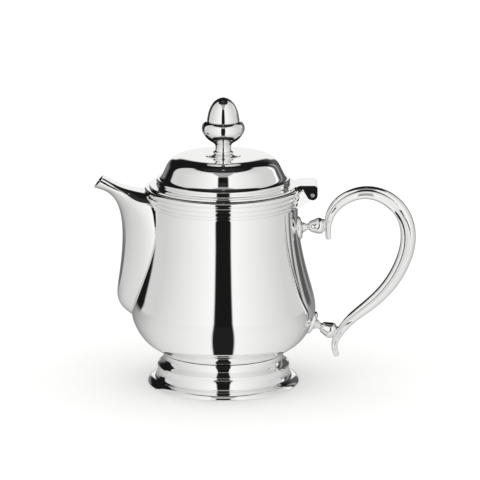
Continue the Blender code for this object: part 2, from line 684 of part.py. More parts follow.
def make_lid():
    bore = STUD_RADIUS + GAP
    dome = dome_outline()
    outside = [point for point in dome if point.x > bore] + flange_outline()
    inside = [point for point in offset_path(dome, -SHEET) if point.x > bore and point.y > DOME_BASE]
    hollow = DOME_RADIUS - SHEET
    outline = [Vector((bore, FINIAL_SEAT))] + outside + [Vector((LID_RADIUS, LID_BASE))]
    outline += [Vector((hollow, LID_BASE)), Vector((hollow, DOME_BASE - 0.0004))]
    outline += list(reversed(inside)) + [Vector((bore, FINIAL_SEAT - SHEET))]
    turned("lid_shell", outline, LID_PIVOT, closed=True)

    # Locating ring under the lid.
    outer = MOUTH_WALL_RADIUS - SHEET - BEZEL_CLEARANCE
    outline = [
        (outer, LID_BASE - GAP), (outer, LID_BASE - 0.6 * BEZEL_DEPTH), (outer - 0.0006, LID_BASE - BEZEL_DEPTH),
        (outer - SHEET, LID_BASE - BEZEL_DEPTH), (outer - SHEET, LID_BASE - GAP),
    ]
    turned("lid_bezel", outline, LID_PIVOT, closed=True)


def make_finial():
    """Acorn in its cup on a short stem, drawn down on the lid by a stud, a washer and a nut."""
    base = FINIAL_SEAT + GAP
    unit = FINIAL_HEIGHT / 36.2
    wide = FINIAL_RADIUS / 12.9
    bore = STUD_RADIUS + GAP
    disc_height = 1.5 * unit
    disc = [(5.0 * wide, base + disc_height), (0.76 * FINIAL_BASE_RADIUS, base + 0.6 * unit)]
    disc += [(FINIAL_BASE_RADIUS, base + 0.25 * unit), (FINIAL_BASE_RADIUS, base)]
    disc += [(bore, base), (bore, base + disc_height)]
    turned("finial_base", disc, LID_PIVOT, steps=SMALL_STEPS + 4, closed=True)

    foot = base + disc_height + GAP
    cup_top = base + 21.8 * unit
    cup = [(9.2, 21.8), (11.6, 20.9), (12.9, 17.9), (12.3, 15.2), (10.3, 12.3), (7.2, 9.5), (5.2, 7.9), (4.7, 6.2),
           (4.8, 4.6), (6.0, 4.1), (6.0, 3.3), (4.8, 2.8)]
    cup = [(radius * wide, base + height * unit) for radius, height in cup]
    cup.append((4.8 * wide, foot))
    hollow = [(bore, foot), (bore, foot + STUD_REACH), (0, foot + STUD_REACH)]
    turned("finial_cup", [(0, cup_top)] + cup + hollow, LID_PIVOT, steps=SMALL_STEPS + 4)

    seat = cup_top + GAP
    span = base + FINIAL_HEIGHT - seat
    acorn = [(0.0, 1.0), (2.6, 0.955), (5.6, 0.80), (7.9, 0.56), (9.2, 0.28), (9.6, 0.08), (9.5, 0.0), (0.0, 0.0)]
    acorn = [(radius * wide, seat + span * height) for radius, height in acorn]
    turned("finial_acorn", smooth_path(acorn[:-1], 2) + [Vector(acorn[-1])], LID_PIVOT, steps=SMALL_STEPS + 4)

    under = FINIAL_SEAT - SHEET
    stud_top = foot + STUD_REACH - GAP
    stud_foot = under - GAP - WASHER_HEIGHT - GAP - NUT_HEIGHT - 0.0012
    stud = [(0, stud_top), (STUD_RADIUS, stud_top), (STUD_RADIUS, stud_foot), (0, stud_foot)]
    turned("finial_stud", stud, LID_PIVOT, steps=12, colour=STEEL, roughness=0.3)
    washer_top = under - GAP
    washer = [(WASHER_RADIUS, washer_top), (WASHER_RADIUS, washer_top - WASHER_HEIGHT)]
    washer += [(bore, washer_top - WASHER_HEIGHT), (bore, washer_top)]
    turned("finial_washer", washer, LID_PIVOT, steps=SMALL_STEPS, closed=True, colour=STEEL, roughness=0.3)
    place = Vector((0, 0, washer_top - WASHER_HEIGHT - GAP - NUT_HEIGHT / 2))
    up = Vector((0, 0, 1))
    nut = cylinder("finial_nut", NUT_RADIUS, NUT_HEIGHT, place, up, LID_PIVOT, steps=6, colour=STEEL, roughness=0.3)
    cut(nut, cylinder("nut_bore", bore, 2 * NUT_HEIGHT, place, up, LID_PIVOT, steps=12, helper=True))


# ---------------------------------------------------------------- assembly

def reach_of_handle():
    lower, upper = handle_joints()
    centre = max((lower + (upper - lower) * up).x + HANDLE_DEPTH * away for away, up, _ in HANDLE_LINE)
    return centre + 0.5 * HANDLE_SECTION_DEPTH


clear_scene()
PARTS = new_collection("silver_teapot")
CUTTERS = new_collection("cutters")

POT_AXIS_X = 0.5 * (SPOUT_REACH - reach_of_handle())
POT = bpy.data.objects.new("pot_axis", None)
PARTS.objects.link(POT)
POT.location = (POT_AXIS_X, 0, 0)

LID_PIVOT_PLACE = Vector((HINGE_X, 0, HINGE_Z))
LID_PIVOT = bpy.data.objects.new("lid_hinge_axis", None)
PARTS.objects.link(LID_PIVOT)
LID_PIVOT.parent = POT
LID_PIVOT.location = LID_PIVOT_PLACE

make_foot()
make_body()
make_collar()
ENVELOPE = body_envelope()
make_spout(ENVELOPE)
make_handle()
make_arms(ENVELOPE)
make_hinge(ENVELOPE)
make_lid()
make_finial()
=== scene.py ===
"""Silver teapot in a plain white studio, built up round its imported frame.

A spun and raised pot in polished silver plate, on a stepped foot, with a beak spout, a scroll handle on
two turned arms, and a hinged domed lid with an acorn for a knob. The pot's sizes are in millimetres, measured
from the table and from its upright axis, until draw_line, loft and rod turn them to metres.
"""

import json
import math

import bmesh
import bpy
import numpy as np
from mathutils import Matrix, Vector


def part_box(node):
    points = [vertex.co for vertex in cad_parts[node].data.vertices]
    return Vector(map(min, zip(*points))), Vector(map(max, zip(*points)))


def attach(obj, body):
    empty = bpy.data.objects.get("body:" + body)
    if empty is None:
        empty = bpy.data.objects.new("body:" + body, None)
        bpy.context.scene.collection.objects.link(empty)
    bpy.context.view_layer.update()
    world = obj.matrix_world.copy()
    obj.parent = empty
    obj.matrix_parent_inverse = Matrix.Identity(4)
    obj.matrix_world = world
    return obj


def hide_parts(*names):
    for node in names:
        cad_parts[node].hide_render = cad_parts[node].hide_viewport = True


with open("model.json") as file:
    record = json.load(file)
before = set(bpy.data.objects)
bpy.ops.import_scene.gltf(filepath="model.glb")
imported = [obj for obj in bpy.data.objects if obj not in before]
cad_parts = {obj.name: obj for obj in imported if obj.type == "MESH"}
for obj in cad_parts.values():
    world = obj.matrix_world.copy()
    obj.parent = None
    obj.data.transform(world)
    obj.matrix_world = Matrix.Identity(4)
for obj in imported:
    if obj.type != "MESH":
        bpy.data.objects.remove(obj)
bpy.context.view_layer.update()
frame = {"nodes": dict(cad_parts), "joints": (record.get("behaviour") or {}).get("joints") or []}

MM = 0.001
COLLAR_LOW, COLLAR_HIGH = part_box("rim_collar")
AXIS_X = 0.5 * (COLLAR_LOW.x + COLLAR_HIGH.x)
POT_AXIS = Vector((AXIS_X, 0, 0))                   # where the pot's upright axis meets the table
HINGE = Vector(frame["joints"][0]["pos_m"])
RIM_TOP = COLLAR_HIGH.z / MM
WALL = 1.2                                          # sheet of the body


# ------------------------------------------------------------------ lines

def flow(points, spacing):
    """A smooth line through points, by a natural cubic spline, with about this far between its points. Two
    points give a straight line, with a third as many."""
    points = np.array(points, float)
    if len(points) == 2:
        length = float(np.linalg.norm(points[1] - points[0]))
        count = max(1, round(length / spacing / 3))
        return [points[0] + (points[1] - points[0]) * step / count for step in range(count + 1)]
    chord = np.concatenate([[0], np.cumsum(np.linalg.norm(np.diff(points, axis=0), axis=1))])
    gaps = np.diff(chord)
    size = len(points)
    matrix = np.eye(size)
    slopes = np.zeros_like(points)
    for i in range(1, size - 1):
        matrix[i, i - 1:i + 2] = gaps[i - 1], 2 * (gaps[i - 1] + gaps[i]), gaps[i]
        ahead = (points[i + 1] - points[i]) / gaps[i]
        behind = (points[i] - points[i - 1]) / gaps[i - 1]
        slopes[i] = 6 * (ahead - behind)
    bends = np.linalg.solve(matrix, slopes)
    places = np.linspace(0, chord[-1], max(3, round(chord[-1] / spacing) + 1))
    line = []
    for place in places:
        i = min(int(np.searchsorted(chord, place, side="right")) - 1, size - 2)
        gap = gaps[i]
        left = place - chord[i]
        right = chord[i + 1] - place
        line.append((bends[i] * right ** 3 + bends[i + 1] * left ** 3) / (6 * gap)
                    + (points[i] / gap - bends[i] * gap / 6) * right
                    + (points[i + 1] / gap - bends[i + 1] * gap / 6) * left)
    return line


def cut_back(run, distance):
    """The run without its last stretch of this length, or without just under half of it if that is less."""
    run = list(run)
    total = sum(float(np.linalg.norm(b - a)) for a, b in zip(run, run[1:]))
    distance = min(distance, 0.45 * total)
    while True:
        step = float(np.linalg.norm(run[-1] - run[-2]))
        if step > distance:
            run[-1] = run[-1] + (run[-2] - run[-1]) * distance / step
            return run
        distance -= step
        run.pop()


def outline(points, spacing=0.9):
    """A fine line through (radius, height) points. One with a third number is a corner, rounded by about
    that much. Between corners the line flows."""
    corners = [i for i, point in enumerate(points) if len(point) == 3 or i in (0, len(points) - 1)]
    flat = [point[:2] for point in points]
    runs = [flow(flat[a:b + 1], spacing) for a, b in zip(corners, corners[1:])]
    line = list(runs[0])
    for corner, run in zip(corners[1:], runs[1:]):
        tip = np.array(points[corner][:2], float)
        line = cut_back(line, points[corner][2])
        run = cut_back(run[::-1], points[corner][2])[::-1]
        start, end = line[-1], run[0]
        line += [start * (1 - t) ** 2 + 2 * tip * t * (1 - t) + end * t ** 2 for t in (0.25, 0.5, 0.75)]
        line += run
    return line


def beside(line, distance):
    """The line moved sideways, to the right of its direction."""
    moved = []
    for i, point in enumerate(line):
        along = line[min(i + 1, len(line) - 1)] - line[max(i - 1, 0)]
        along = along / np.linalg.norm(along)
        moved.append(point + distance * np.array([along[1], -along[0]]))
    return moved


# ------------------------------------------------------------------ shaping

def pick(*pieces):
    """Selects these pieces and no others, and makes the first one active."""
    bpy.ops.object.select_all(action="DESELECT")
    for piece in pieces:
        piece.select_set(True)
    bpy.context.view_layer.objects.active = pieces[0]


def start_piece(name):
    """Names the object that was just added."""
    piece = bpy.context.object
    piece.name = name
    piece.data.name = name
    return piece


def clean(piece, merge=0.000003):
    """Closes seams and poles, then turns every face outwards."""
    bpy.ops.mesh.select_all(action="SELECT")
    bpy.ops.mesh.remove_doubles(threshold=merge)
    bpy.ops.mesh.normals_make_consistent(inside=False)
    bpy.ops.object.mode_set(mode="OBJECT")
    return piece


def draw_line(name, line):
    """A wire drawn point by point, from a plane drawn in to its middle."""
    line = [Vector(point) * MM for point in line]
    bpy.ops.object.select_all(action="DESELECT")
    bpy.ops.mesh.primitive_plane_add(size=MM, location=line[0])
    piece = start_piece(name)
    bpy.ops.object.transform_apply(location=True)
    bpy.ops.object.mode_set(mode="EDIT")
    bpy.ops.mesh.select_all(action="SELECT")
    bpy.ops.mesh.merge(type="CENTER")
    for here, there in zip(line, line[1:]):
        bpy.ops.mesh.extrude_vertices_move(TRANSFORM_OT_translate={"value": there - here})
    return piece


def spun(name, line, steps=160):
    """A piece spun on the lathe: a line of (radius, height) points turned right round the upright axis."""
    piece = draw_line(name, [(point[0], 0, point[1]) for point in line])
    bpy.ops.mesh.select_all(action="SELECT")
    bpy.ops.mesh.spin(steps=steps, angle=math.tau, center=(0, 0, 0), axis=(0, 0, 1))
    return clean(piece)


def place(piece, spot, direction=None):
    """Moves a piece made on the upright axis to a spot, turned to face a direction if one is given."""
    piece.location = spot
    if direction is not None:
        piece.rotation_euler = Vector(direction).to_track_quat("Z", "Y").to_euler()
    pick(piece)
    bpy.ops.object.transform_apply(location=True, rotation=True, scale=True)
    return piece


def loft(name, rings):
    """A skin drawn out from a circle, ring by ring, with its two ends filled."""
    count = len(rings[0])
    bpy.ops.object.select_all(action="DESELECT")
    bpy.ops.mesh.primitive_circle_add(vertices=count, radius=MM)
    piece = start_piece(name)
    bpy.ops.object.mode_set(mode="EDIT")
    bpy.ops.mesh.select_all(action="SELECT")
    bpy.ops.mesh.edge_face_add()
    for number, ring in enumerate(rings):
        if number:
            bpy.ops.mesh.extrude_region_move()
        mesh = bmesh.from_edit_mesh(piece.data)
        mesh.verts.ensure_lookup_table()
        for vertex, point in zip(mesh.verts[-count:], ring):
            vertex.co = Vector(point) * MM
        bmesh.update_edit_mesh(piece.data)
    return clean(piece)


def rod(name, radius, length, spot, direction, vertices):
    """A straight bar with its middle on a spot: round, or with six vertices a hexagon."""
    bpy.ops.object.select_all(action="DESELECT")
    bpy.ops.mesh.primitive_cylinder_add(vertices=vertices, radius=radius * MM, depth=length * MM)
    piece = start_piece(name)
    return place(piece, Vector(spot) * MM, direction)


def applied(piece, kind, **settings):
    """Adds a modifier and applies it."""
    modifier = piece.modifiers.new(kind.lower(), kind)
    for key, value in settings.items():
        setattr(modifier, key, value)
    pick(piece)
    bpy.ops.object.modifier_apply(modifier=modifier.name)
    return piece


def cut_by(piece, tool, operation="DIFFERENCE"):
    """Cuts a piece with another, or keeps what they share, and takes the other away."""
    applied(piece, "BOOLEAN", operation=operation, object=tool, solver="EXACT")
    bpy.data.objects.remove(tool)
    return piece


# ------------------------------------------------------------------ finishes

def linear(code):
    """A linear colour from an sRGB hex code."""
    values = [int(code[i:i + 2], 16) / 255 for i in (1, 3, 5)]
    values = [v / 12.92 if v <= 0.04045 else ((v + 0.055) / 1.055) ** 2.4 for v in values]
    return (*values, 1)


def add(tree, kind, settings=None, **links):
    """Adds a node, sets its properties, then sets its inputs or links them to other nodes' outputs."""
    node = tree.nodes.new(kind)
    for key, value in (settings or {}).items():
        setattr(node, key, value)
    for key, value in links.items():
        socket = node.inputs[key.replace("_", " ")]
        if isinstance(value, bpy.types.NodeSocket):
            tree.links.new(value, socket)
        else:
            socket.default_value = value
    return node


def new_finish(name):
    """A new material, its node tree and its shader."""
    material = bpy.data.materials.new(name)
    material.use_nodes = True
    return material, material.node_tree, material.node_tree.nodes["Principled BSDF"]


def polished_silver(name, roughness, wave_depth):
    """Silver plate, buffed on a mop. It reflects like a mirror, with a breath of warmth, and has a faint
    waviness left by raising, and fine marks from the cloth."""
    material, tree, shader = new_finish(name)
    shader.inputs["Base Color"].default_value = linear("#F3F3F2")
    shader.inputs["Metallic"].default_value = 1.0
    spot = add(tree, "ShaderNodeTexCoord").outputs["Object"]
    # Wipe marks from polishing, about 25 mm long, only just change how sharp the reflection is.
    wipes = add(tree, "ShaderNodeTexNoise", Vector=spot, Scale=40.0, Detail=4.0, Roughness=0.55)
    sharpness = add(tree, "ShaderNodeMapRange", Value=wipes.outputs["Fac"], From_Min=0.3, From_Max=0.7,
                    To_Min=roughness * 0.7, To_Max=roughness * 1.4)
    tree.links.new(sharpness.outputs["Result"], shader.inputs["Roughness"])
    # Waves about 12 mm across and a few thousandths of a millimetre deep, as hand-raised sheet keeps.
    waves = add(tree, "ShaderNodeTexNoise", Vector=spot, Scale=85.0, Detail=1.0)
    bump = add(tree, "ShaderNodeBump", Height=waves.outputs["Fac"], Strength=1.0, Distance=wave_depth)
    # Marks of the buffing cloth, 0.3 mm apart in reality, drawn 0.8 mm apart so that they show at all.
    hairs = add(tree, "ShaderNodeTexNoise", Vector=spot, Scale=1250.0, Detail=2.0)
    scratch = add(tree, "ShaderNodeBump", Height=hairs.outputs["Fac"], Strength=1.0, Distance=0.0000006,
                  Normal=bump.outputs["Normal"])
    tree.links.new(scratch.outputs["Normal"], shader.inputs["Normal"])
    return material


def satin_steel(name):
    """Plain steel of the stud, washer, nut and pin: grey, turned, not polished."""
    material, tree, shader = new_finish(name)
    shader.inputs["Base Color"].default_value = linear("#B9B9B6")
    shader.inputs["Metallic"].default_value = 1.0
    spot = add(tree, "ShaderNodeTexCoord").outputs["Object"]
    # Turning marks about 0.15 mm apart, drawn 0.5 mm apart.
    marks = add(tree, "ShaderNodeTexNoise", Vector=spot, Scale=2000.0, Detail=2.0)
    rough = add(tree, "ShaderNodeMapRange", Value=marks.outputs["Fac"], To_Min=0.22, To_Max=0.38)
    tree.links.new(rough.outputs["Result"], shader.inputs["Roughness"])
    bump = add(tree, "ShaderNodeBump", Height=marks.outputs["Fac"], Strength=0.4, Distance=0.00001)
    tree.links.new(bump.outputs["Normal"], shader.inputs["Normal"])
    return material


SILVER_SHEET = polished_silver("silver_plate_on_sheet", 0.035, 0.0000035)
SILVER_CAST = polished_silver("silver_plate_on_castings", 0.045, 0.0000020)
STEEL = satin_steel("satin_steel")


def dress(piece, body, finish, slot, *nodes, smooth=38):
    """Gives a finished piece its finish, shades it smooth but for edges sharper than this many degrees, and
    puts it in place of its CAD nodes."""
    piece.data.materials.clear()
    piece.data.materials.append(finish)
    pick(piece)
    bpy.ops.object.shade_smooth_by_angle(angle=math.radians(smooth))
    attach(piece, body)
    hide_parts(*nodes)
    return piece


# ------------------------------------------------------------------ pot

NECK_RADIUS = 44.1
POT_FLOOR = 19.6                                    # height of the floor's underside

# The body's outside from the neck down, as (radius, height).
BODY_SIDE = [
    (NECK_RADIUS, 110.6), (44.75, 109.6, 0.4), (45.15, 99.5), (46.55, 87.6), (48.7, 76.6), (51.5, 65.6),
    (54.2, 55.6), (55.5, 46.6), (54.2, 38.9), (50.6, 31.7), (45.2, 25.6), (40.2, 22.3), (36.4, 19.7),
]

STRAINER_HEIGHT = 75.84
HOLE_ROWS = 7
HOLE_PITCH = 5.2
HOLE_RADIUS = 1.1
DRILL_LENGTH = 12


def on_body(height):
    """A point on the handle side of the body at this height, and the outward direction there."""
    line = outline(BODY_SIDE)
    for above, below in zip(line, line[1:]):
        if below[1] <= height <= above[1]:
            share = (height - below[1]) / (above[1] - below[1])
            spot = below + (above - below) * share
            along = (above - below) / np.linalg.norm(above - below)
            return Vector((spot[0], 0, spot[1])), Vector((along[1], 0, -along[0]))
    raise ValueError("the body has no face at %g" % height)


def make_body():
    """Bell-shaped vessel with a flat floor, and strainer holes behind the spout."""
    floor_top = POT_FLOOR + WALL
    underside = [np.array([radius, POT_FLOOR]) for radius in (0.0, 18.0, 34.0)]
    outside = outline([(NECK_RADIUS, RIM_TOP), (NECK_RADIUS, 111.0, 0.3)] + BODY_SIDE[1:])
    inside = [point for point in beside(outside, WALL) if point[1] > floor_top + 0.3 and point[0] > 30]
    floor = [np.array([radius, floor_top]) for radius in (32.0, 24.0, 12.0, 0.0)]
    # The inside does with a third of the outside's points.
    body = spun("body", underside + outside[::-1] + inside[::3] + floor, steps=180)
    place(body, POT_AXIS)
    return cut_by(body, strainer_drills())


def strainer_drills():
    """Staggered rows of three and two drills through the body behind the spout, joined into one cutter."""
    row_gap = HOLE_PITCH * math.sin(math.radians(60))
    drills = []
    for row in range(HOLE_ROWS):
        count = 3 - row % 2
        height = STRAINER_HEIGHT + (row - (HOLE_ROWS - 1) / 2) * row_gap
        reach = on_body(height)[0].x
        for column in range(count):
            aside = (column - (count - 1) / 2) * HOLE_PITCH
            spot = (AXIS_X / MM - reach, aside, height)
            drills.append(rod("drill", HOLE_RADIUS, DRILL_LENGTH, spot, (1, 0, 0), vertices=20))
    pick(*drills)
    bpy.ops.object.join()
    return drills[0]


def make_foot():
    """Stepped foot: a spread edge, an upright wall, a step, and a waist under the body."""
    outside = [
        (46.0, 0.0), (46.0, 1.3, 0.5), (45.1, 2.6), (43.0, 4.2), (40.9, 4.9, 0.9), (39.9, 7.5),
        (39.5, 10.6, 0.5), (39.9, 11.4, 0.35), (39.6, 12.4, 0.4), (37.6, 14.0), (36.3, 15.6, 0.8),
        (36.0, 17.4), (36.2, 19.4),
    ]
    inside = [
        (30.0, 19.4), (30.0, 18.2, 0.2), (34.6, 18.2, 0.6), (34.6, 14.6, 0.6), (38.2, 10.6, 0.8),
        (38.4, 5.2, 1.0), (42.8, 1.7, 0.6), (44.0, 0.0, 0.3), (46.0, 0.0),
    ]
    foot = spun("foot", outline(outside, 0.6) + outline(inside, 1.4), steps=180)
    return place(foot, POT_AXIS)


def make_collar():
    """Moulded band round the mouth: three beads, each wider than the one below, then the rim's broad ring."""
    line = outline([
        (44.3, RIM_TOP), (46.4, RIM_TOP, 0.5), (47.2, 120.2, 0.5), (47.2, 118.9, 0.5), (46.2, 118.1, 0.25),
        (46.0, 117.7, 0.2), (46.5, 116.6), (46.0, 115.3, 0.2), (45.35, 114.9, 0.2), (45.7, 113.7),
        (45.3, 112.5, 0.2), (44.9, 112.2, 0.2), (45.25, 111.3), (44.9, 110.5, 0.2), (44.3, 110.4),
        (44.3, RIM_TOP),
    ], 0.35)
    return place(spun("collar", line, steps=180), POT_AXIS)


# ------------------------------------------------------------------ spout

# Stations up the spout: the nose's reach and height, the back or top edge's reach and height, then half
# widths near the top edge and at the side.
SPOUT_STATIONS = [
    (52.6, 40.7, 34.8, 40.7, 5.0, 7.5),
    (58.5, 44.8, 31.6, 43.2, 8.0, 11.8),
    (63.2, 51.2, 30.0, 49.6, 12.0, 15.0),
    (63.0, 64.9, 30.0, 67.3, 16.0, 18.2),
    (61.1, 81.0, 30.0, 90.6, 18.0, 20.0),
    (60.7, 94.7, 31.6, 110.8, 18.0, 20.2),
    (61.8, 104.7, 40.8, 117.4, 15.0, 17.0),
    (63.7, 110.8, 48.0, 118.5, 10.5, 13.3),
    (66.7, 115.3, 54.5, 119.8, 8.5, 9.8),
    (70.8, 118.4, 61.8, 122.0, 7.4, 8.0),
    (74.3, 119.7, 67.4, 124.8, 6.8, 7.2),
    (77.6, 120.6, 72.0, 127.3, 6.4, 6.7),
]
SPOUT_WALL = 1.0
THROAT_REACH = 36.5                                 # a back edge nearer in than this is inside the body

# Half of a section, from its back edge to its nose: the share of the way, then the width there as a share of
# the top width for the first two points, and of the side width for the rest.
SECTION_TOP = [(0.0, 0.5), (0.06, 0.92)]
SECTION_SIDE = [(0.36, 1.0), (0.70, 0.74), (0.93, 0.34)]


def spout_rings(inset, spacing=1.6, points=72):
    """The spout's sections, or those of its hollow, which is smaller all round by the inset. Inside the body
    the hollow goes right through the back."""
    columns = np.array(SPOUT_STATIONS)
    places = [0.0]
    for here, there in zip(columns, columns[1:]):
        places.append(places[-1] + max(float(np.linalg.norm(there[:2] - here[:2])), 2.0))
    fine = np.linspace(0, places[-1], round(places[-1] / spacing) + 1)
    smooth = []
    for column in columns.T:
        line = np.array(flow(list(zip(places, column)), spacing * 0.5))
        smooth.append(np.interp(fine, line[:, 0], line[:, 1]))
    rings = []
    for nose_x, nose_z, back_x, back_z, top_width, side_width in zip(*smooth):
        nose = np.array([-nose_x, 0, nose_z])
        back = np.array([-back_x, 0, back_z])
        along = (nose - back) / np.linalg.norm(nose - back)
        nose = nose - along * inset
        if back_x > THROAT_REACH:
            back = back + along * inset
        half = [(share, top_width * width) for share, width in SECTION_TOP]
        half += [(share, side_width * width) for share, width in SECTION_SIDE]
        half = [(share, max(width - inset, 0.4)) for share, width in half]
        side = np.array([0, 1.0, 0])
        loop = [back] + [back + (nose - back) * share + side * width for share, width in half] + [nose]
        loop += [back + (nose - back) * share - side * width for share, width in half[::-1]]
        rings.append(closed_flow(loop, points))
    return rings


def closed_flow(loop, count):
    """A smooth closed line through a loop of points, with this many points on it. The line is drawn past the
    loop's first point on both sides, then cut there."""
    wrap = 3
    line = np.array(flow(loop[-wrap:] + loop + loop[:wrap], 0.1))
    away = np.linalg.norm(line - loop[0], axis=1)
    middle = len(line) // 2
    start = int(np.argmin(away[:middle]))
    end = middle + int(np.argmin(away[middle:]))
    stretch = line[start:end + 1]
    length = np.concatenate([[0], np.cumsum(np.linalg.norm(np.diff(stretch, axis=0), axis=1))])
    wanted = np.linspace(0, length[-1], count + 1)[:-1]
    return [np.array([np.interp(w, length, stretch[:, k]) for k in range(3)]) for w in wanted]


def make_spout():
    """Beak raised from sheet, closed on top and open at the lip, soldered over the strainer."""
    spout = loft("spout", spout_rings(0.0))
    rings = spout_rings(SPOUT_WALL)[1:]
    # The hollow runs 4 mm out past the lip.
    ahead = np.mean(rings[-1], axis=0) - np.mean(rings[-3], axis=0)
    ahead = ahead / np.linalg.norm(ahead)
    rings.append([point + ahead * 4 for point in rings[-1]])
    cut_by(spout, loft("spout_hollow", rings))
    # The spout's edge reaches 0.3 mm into the body's wall, so that no gap shows at the solder.
    wall = outline([(44.0, 130.0), (44.0, 111.0, 0.3)] + BODY_SIDE[1:])
    room = [np.array([0.0, 130.0])] + beside(wall, 0.3) + [np.array([0.0, 19.0])]
    cut_by(spout, spun("room_for_the_body", room, steps=120))
    return place(spout, POT_AXIS)


# ------------------------------------------------------------------ handle

UPPER_ARM_HEIGHT = 95.7
LOWER_ARM_HEIGHT = 36.9
ARM_LENGTH = 15.2
HANDLE_REACH = 42.5
HANDLE_THICKNESS = 9.3                              # at its thickest
HANDLE_WIDTH = 0.88                                 # as a share of its thickness
FULLNESS = 0.80                                     # 1 for an oval section, less for a squarer one
GROOVE_DEPTH = 0.30                                 # as a share of the half width
GROOVE_SPREAD = 0.17                                # as a share of the half thickness

# The handle's centre line from its upper tail to its lower one: how far out from the line between the two
# joints, as a share of its reach, how far up from the lower joint to the upper, and its share of thickness.
HANDLE_LINE = [
    (-0.012, 0.880, 0.36), (0.000, 1.000, 0.46), (0.090, 1.136, 0.66), (0.303, 1.249, 0.78),
    (0.592, 1.295, 0.85), (0.880, 1.238, 0.94), (1.084, 1.070, 0.98), (1.115, 0.885, 1.00),
    (0.975, 0.628, 0.97), (0.762, 0.436, 0.90), (0.460, 0.263, 0.80), (0.170, 0.122, 0.66),
    (0.000, 0.000, 0.52), (-0.078, -0.100, 0.40), (-0.062, -0.198, 0.34),
]


def handle_joint(height, share):
    """Where an arm's line meets the handle's centre line. The handle's inner face is 0.1 mm beyond the arm's
    length, and the pear's last millimetre is inside the handle."""
    spot, outward = on_body(height)
    return spot + outward * (ARM_LENGTH + 0.1 + 0.5 * HANDLE_THICKNESS * share)


def make_handle():
    """Two beads, one inside the other's curve, run together along a groove. They thin to a tail at each
    end. The arms meet them where their share of thickness is 0.52 and 0.46."""
    lower = handle_joint(LOWER_ARM_HEIGHT, 0.52)
    upper = handle_joint(UPPER_ARM_HEIGHT, 0.46)
    points = []
    for away, up, share in HANDLE_LINE:
        point = lower + (upper - lower) * up + Vector((HANDLE_REACH * away, 0, 0))
        points.append((point.x, point.z, HANDLE_THICKNESS * share))
    line = flow(points, 1.0)
    rings = []
    for i, (x, z, thickness) in enumerate(line):
        before = line[max(i - 1, 0)]
        after = line[min(i + 1, len(line) - 1)]
        along = Vector((after[0] - before[0], 0, after[1] - before[1])).normalized()
        outward = Vector((-along.z, 0, along.x))
        rings.append(handle_ring(Vector((x, 0, z)), outward, thickness))
    return place(loft("handle", rounded_ends(rings)), POT_AXIS)


def handle_ring(centre, outward, thickness, count=48):
    """One section of the handle: an outer and an inner bead with a groove between them on each side."""
    across = Vector((0, 1, 0))
    width = HANDLE_WIDTH * thickness
    ring = []
    for step in range(count):
        angle = math.tau * step / count
        pinch = 1 - GROOVE_DEPTH * math.exp(-(math.cos(angle) / GROOVE_SPREAD) ** 2)
        out = 0.5 * thickness * fuller(math.cos(angle))
        aside = 0.5 * width * pinch * fuller(math.sin(angle))
        ring.append(centre + outward * out + across * aside)
    return ring


def fuller(share):
    """Makes an oval's sine or cosine fuller, so that its corners square up a little."""
    return math.copysign(abs(share) ** FULLNESS, share)


def rounded_ends(rings):
    """The rings, with each end drawn in to a low dome."""
    def dome(first, second):
        centre = sum(first, Vector()) / len(first)
        away = (centre - sum(second, Vector()) / len(second)).normalized()
        height = 0.6 * (first[0] - centre).length
        added = []
        for angle in np.radians((20, 40, 58, 73, 84)):
            top = centre + away * height * math.sin(angle)
            added.append([top + (point - centre) * math.cos(angle) for point in first])
        return added

    return dome(rings[0], rings[1])[::-1] + rings + dome(rings[-1], rings[-2])


def make_arm(where, height):
    """A rosette on the body, and a turned pear between it and the handle."""
    spot, outward = on_body(height)
    rosette = spun(where + "_arm_rose", outline([
        (0.0, 2.6), (2.6, 2.6, 0.3), (3.4, 2.1, 0.3), (4.3, 1.7, 0.3), (5.4, 1.6), (6.4, 1.1),
        (7.0, 0.6, 0.4), (7.2, 0.0), (7.2, -1.0), (0.0, -1.0),
    ], 0.25), steps=72)
    pear = spun(where + "_arm_pear", outline([
        (0.0, 2.4), (3.1, 2.4, 0.2), (2.7, 3.4, 0.3), (1.95, 4.7), (2.2, 6.0, 0.1), (2.9, 6.4), (3.9, 8.6),
        (4.75, 11.1), (4.9, 12.3), (4.4, 13.9), (3.6, 14.7, 0.15), (3.9, 15.1), (3.5, 15.8), (2.6, 16.2),
        (0.0, 16.2),
    ], 0.3), steps=72)
    spot = spot * MM + POT_AXIS
    return place(rosette, spot, outward), place(pear, spot, outward)


# ------------------------------------------------------------------ hinge

def buffed_casting(name, node, edge, taper=0.0):
    """A hinge casting as the frame has it, with its edges rounded by this many millimetres of buffing. The
    taper is how steeply its end faces are filed in, away from the pot."""
    piece = bpy.data.objects.new(name, frame["nodes"][node].data.copy())
    piece.data.name = name
    bpy.context.scene.collection.objects.link(piece)
    pick(piece)
    bpy.ops.object.mode_set(mode="EDIT")
    bpy.ops.mesh.select_all(action="SELECT")
    bpy.ops.mesh.remove_doubles(threshold=0.000005)
    bpy.ops.mesh.dissolve_limited(angle_limit=math.radians(1))
    bpy.ops.object.mode_set(mode="OBJECT")
    low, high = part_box(node)
    end_face = high.y - 0.4 * MM
    for vertex in piece.data.vertices:
        if abs(vertex.co.y) > end_face:
            vertex.co.y -= math.copysign(taper * (vertex.co.x - low.x), vertex.co.y)
    return applied(piece, "BEVEL", width=edge * MM, segments=2, limit_method="ANGLE",
                   angle_limit=math.radians(32), use_clamp_overlap=True)


